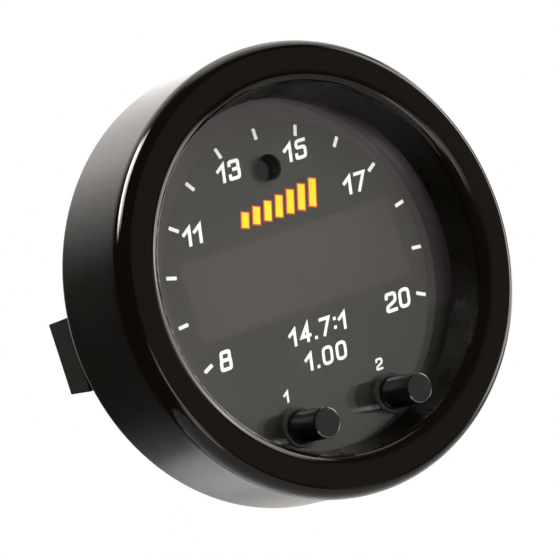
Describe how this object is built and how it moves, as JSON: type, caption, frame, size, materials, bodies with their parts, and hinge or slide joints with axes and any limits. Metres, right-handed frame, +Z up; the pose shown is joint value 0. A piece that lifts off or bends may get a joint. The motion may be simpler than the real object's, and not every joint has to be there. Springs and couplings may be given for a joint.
{
  "type": "air fuel ratio gauge",
  "caption": "Round dashboard gauge with a dished bezel, dark dial, digit window, light sweep, push buttons and a rear clamp bracket.",
  "frame": {"origin": "centre of the housing's rear flange face, where the gauge rests on the panel", "axes": "+Z up, the dial faces -Y, the cup and studs point along +Y, +X is the dial's right"},
  "size_m": [0.0604, 0.0364, 0.0604],
  "materials": {
    "housing_plastic": "satin moulded, black",
    "bezel_plastic": "polished moulding, black",
    "trim_plastic": "polished moulding, black",
    "seal_rubber": "moulded, dull",
    "lens_acrylic": "clear, polished",
    "adhesive_film": "thin film",
    "dial_print": "screen printed, matt black",
    "smoked_film": "smoked, polished",
    "light_box_plastic": "moulded, matt",
    "guide_acrylic": "frosted",
    "led_resin": "clear resin over phosphor",
    "display_face": "painted grey",
    "segment_resin": "milky resin",
    "tinned_pin": "tinned",
    "sensor_resin": "dark filter resin",
    "button_plastic": "moulded, black, half gloss",
    "bushing_plastic": "moulded, grey",
    "plunger_plastic": "moulded",
    "switch_plastic": "moulded",
    "switch_steel": "stamped",
    "board_laminate": "solder mask over glass laminate",
    "screw_steel": "zinc plated",
    "spacer_brass": "turned",
    "contact_gold": "gold flashed",
    "chip_epoxy": "moulded epoxy",
    "inductor_ferrite": "pressed ferrite",
    "capacitor_ceramic": "fired",
    "connector_plastic": "moulded nylon",
    "cover_plastic": "moulded, fine grain",
    "stud_steel": "zinc plated",
    "bracket_plastic": "glass filled nylon, satin",
    "nut_brass": "knurled and turned"
  },
  "bodies": {
    "gauge": {"housing": "housing_plastic", "bezel": "bezel_plastic", "bezel_seal": "seal_rubber", "trim_ring": "trim_plastic", "lens_seal": "seal_rubber", "lens": "lens_acrylic", "adhesive_ring": "adhesive_film", "dial_plate": "dial_print", "smoke_filter": "smoked_film", "light_box": "light_box_plastic", "light_guide": "guide_acrylic", "sweep_leds": "led_resin", "digit_display": "display_face", "digit_segments": "segment_resin", "display_pins": "tinned_pin", "sensor_pipe": "sensor_resin", "light_sensor": "sensor_resin", "mode_bushing": "bushing_plastic", "select_bushing": "bushing_plastic", "mode_switch": "switch_plastic", "select_switch": "switch_plastic", "switch_covers": "switch_steel", "switch_leads": "tinned_pin", "snap_domes": "switch_steel", "display_board": "board_laminate", "frame_screws": "screw_steel", "board_spacers": "spacer_brass", "board_screws": "screw_steel", "power_board": "board_laminate", "link_header": "connector_plastic", "link_pins": "contact_gold", "controller_chip": "chip_epoxy", "driver_chip": "chip_epoxy", "chip_leads": "tinned_pin", "voltage_regulator": "chip_epoxy", "power_inductor": "inductor_ferrite", "capacitors": "capacitor_ceramic", "harness_connector": "connector_plastic", "harness_pins": "contact_gold", "sensor_connector": "connector_plastic", "sensor_pins": "contact_gold", "rear_cover": "cover_plastic", "cover_seal": "seal_rubber", "cover_screws": "screw_steel", "mounting_studs": "stud_steel"},
    "mode_button": {"mode_button": "button_plastic", "mode_plunger": "plunger_plastic"},
    "select_button": {"select_button": "button_plastic", "select_plunger": "plunger_plastic"},
    "clamp_bracket": {"clamp_bracket": "bracket_plastic", "nut_washers": "stud_steel"},
    "left_nut": {"left_thumb_nut": "nut_brass"},
    "right_nut": {"right_thumb_nut": "nut_brass"}
  },
  "joints": [
    {"name": "mode_press", "type": "slide", "parent": "gauge", "child": "mode_button", "axis": [0, 1, 0], "range_m": [0, 0.0004], "stiffness_N_per_m": 4000},
    {"name": "select_press", "type": "slide", "parent": "gauge", "child": "select_button", "axis": [0, 1, 0], "range_m": [0, 0.0004], "stiffness_N_per_m": 4000},
    {"name": "bracket_slide", "type": "slide", "parent": "gauge", "child": "clamp_bracket", "axis": [0, 1, 0], "range_m": [-0.0009, 0.006]},
    {"name": "left_nut_spin", "type": "hinge", "parent": "clamp_bracket", "child": "left_nut", "pos_m": [-0.017, 0.0105, -0.00115], "axis": [0, 1, 0], "range_deg": [-462.9, 3085.8]},
    {"name": "right_nut_spin", "type": "hinge", "parent": "clamp_bracket", "child": "right_nut", "pos_m": [0.017, 0.0105, -0.00115], "axis": [0, 1, 0], "range_deg": [-462.9, 3085.8]}
  ],
  "couplings": [
    {"joint": "left_nut_spin", "follows": "bracket_slide", "rad_per_m": 8976},
    {"joint": "right_nut_spin", "follows": "bracket_slide", "rad_per_m": 8976}
  ]
}
